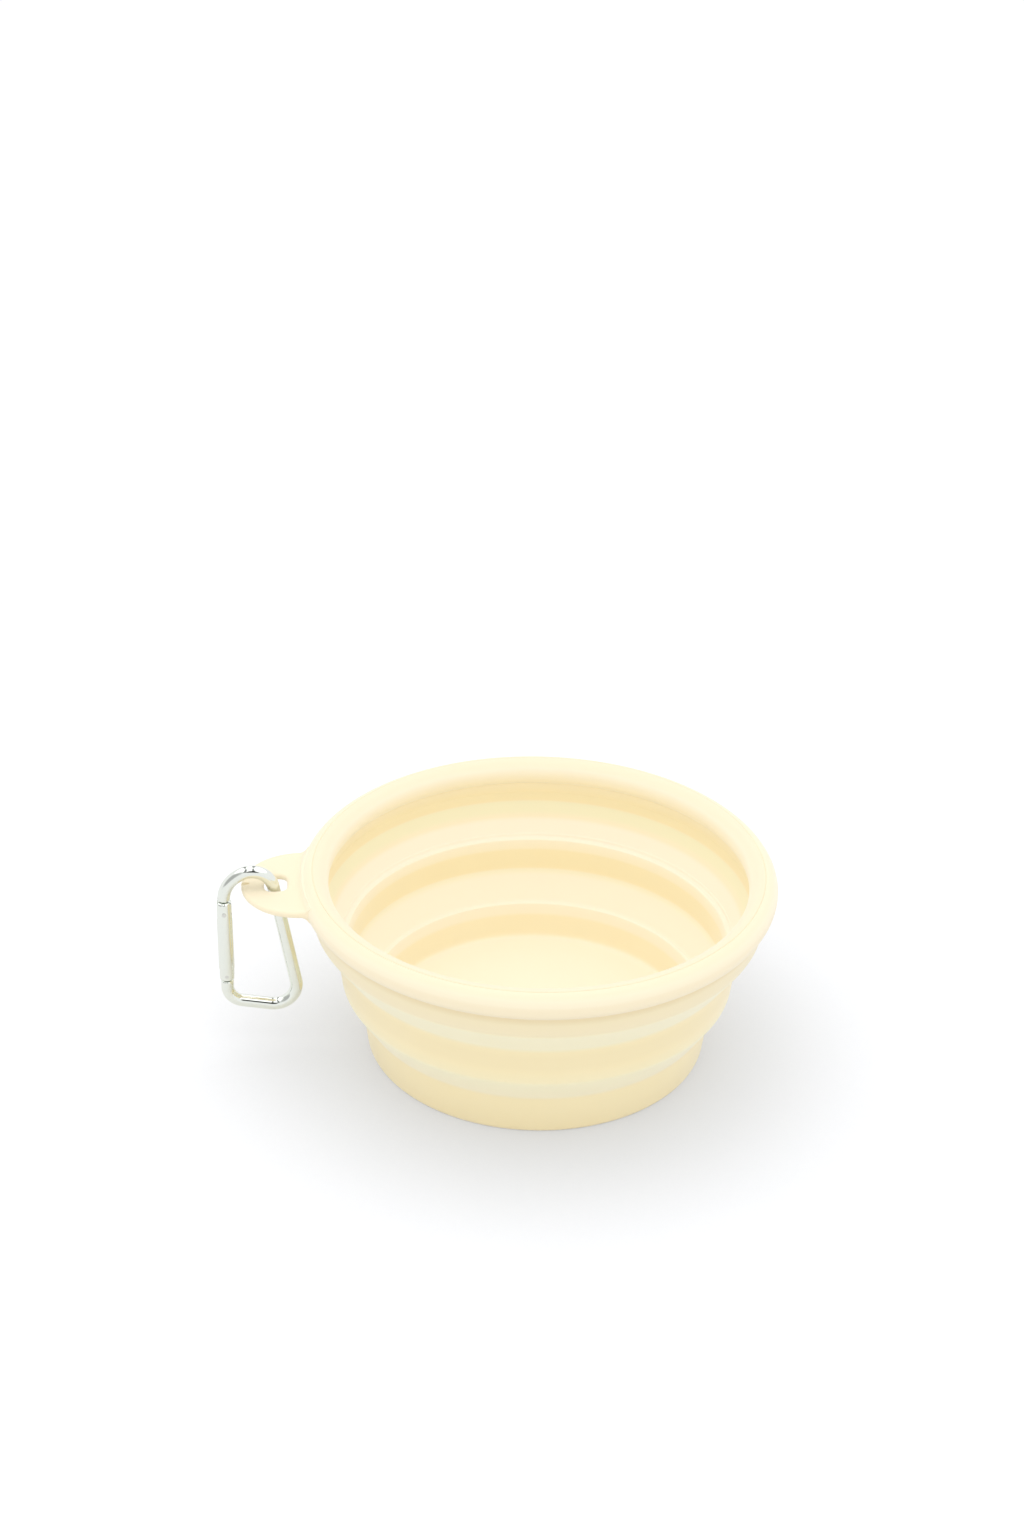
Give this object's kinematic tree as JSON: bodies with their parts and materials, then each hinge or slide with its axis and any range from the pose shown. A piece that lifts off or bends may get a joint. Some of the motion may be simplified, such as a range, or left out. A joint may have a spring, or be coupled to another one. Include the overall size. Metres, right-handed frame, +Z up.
{
  "type": "collapsible bowl",
  "caption": "Round collapsible silicone bowl with stepped tiers that fold down on sloping bands, a rolled rim and a holed tab carrying a small snap clip.",
  "frame": {"origin": "centre of the foot's flat underside", "axes": "+Z up along the bowl's axis, the tab and its clip along -X"},
  "size_m": [0.1526, 0.13, 0.0577],
  "materials": {
    "silicone": "satin cream silicone",
    "rim_plastic": "satin, matched to the silicone",
    "aluminium": "polished",
    "steel": "plain"
  },
  "bodies": {
    "base": {"base_cup": "silicone", "lower_fold_band": "silicone"},
    "middle": {"middle_tier": "silicone", "upper_fold_band": "silicone"},
    "rim": {"upper_wall": "silicone", "rim_lip": "silicone", "tab_ring": "rim_plastic"},
    "clip": {"clip_body": "aluminium"},
    "gate": {"clip_gate": "aluminium", "hinge_pin": "steel", "latch_pin": "steel", "gate_spring": "steel"},
    "plunger": {"spring_plunger": "steel"}
  },
  "joints": [
    {"name": "lower_fold", "type": "slide", "parent": "base", "child": "middle", "axis": [0, 0, -1], "range_m": [0, 0.0162], "deforming": ["lower_fold_band"]},
    {"name": "upper_fold", "type": "slide", "parent": "middle", "child": "rim", "axis": [0, 0, -1], "range_m": [0, 0.0168], "deforming": ["upper_fold_band"]},
    {"name": "clip_swing", "type": "hinge", "parent": "rim", "child": "clip", "pos_m": [-0.0778, -0.0017, 0.0501], "axis": [0, 1, 0], "range_deg": [-15, 170]},
    {"name": "gate_hinge", "type": "hinge", "parent": "clip", "child": "gate", "pos_m": [-0.08545, -0.0017, 0.04375], "axis": [0, -1, 0], "range_deg": [0, 30], "stiffness_Nm_per_rad": 0.02, "springref_deg": -17.19},
    {"name": "plunger_slide", "type": "slide", "parent": "gate", "child": "plunger", "axis": [0, 0, -1], "range_m": [0, 0.0007], "deforming": ["gate_spring"]}
  ],
  "couplings": [
    {"joint": "plunger_slide", "follows": "gate_hinge", "m_per_rad": 0.0013}
  ]
}
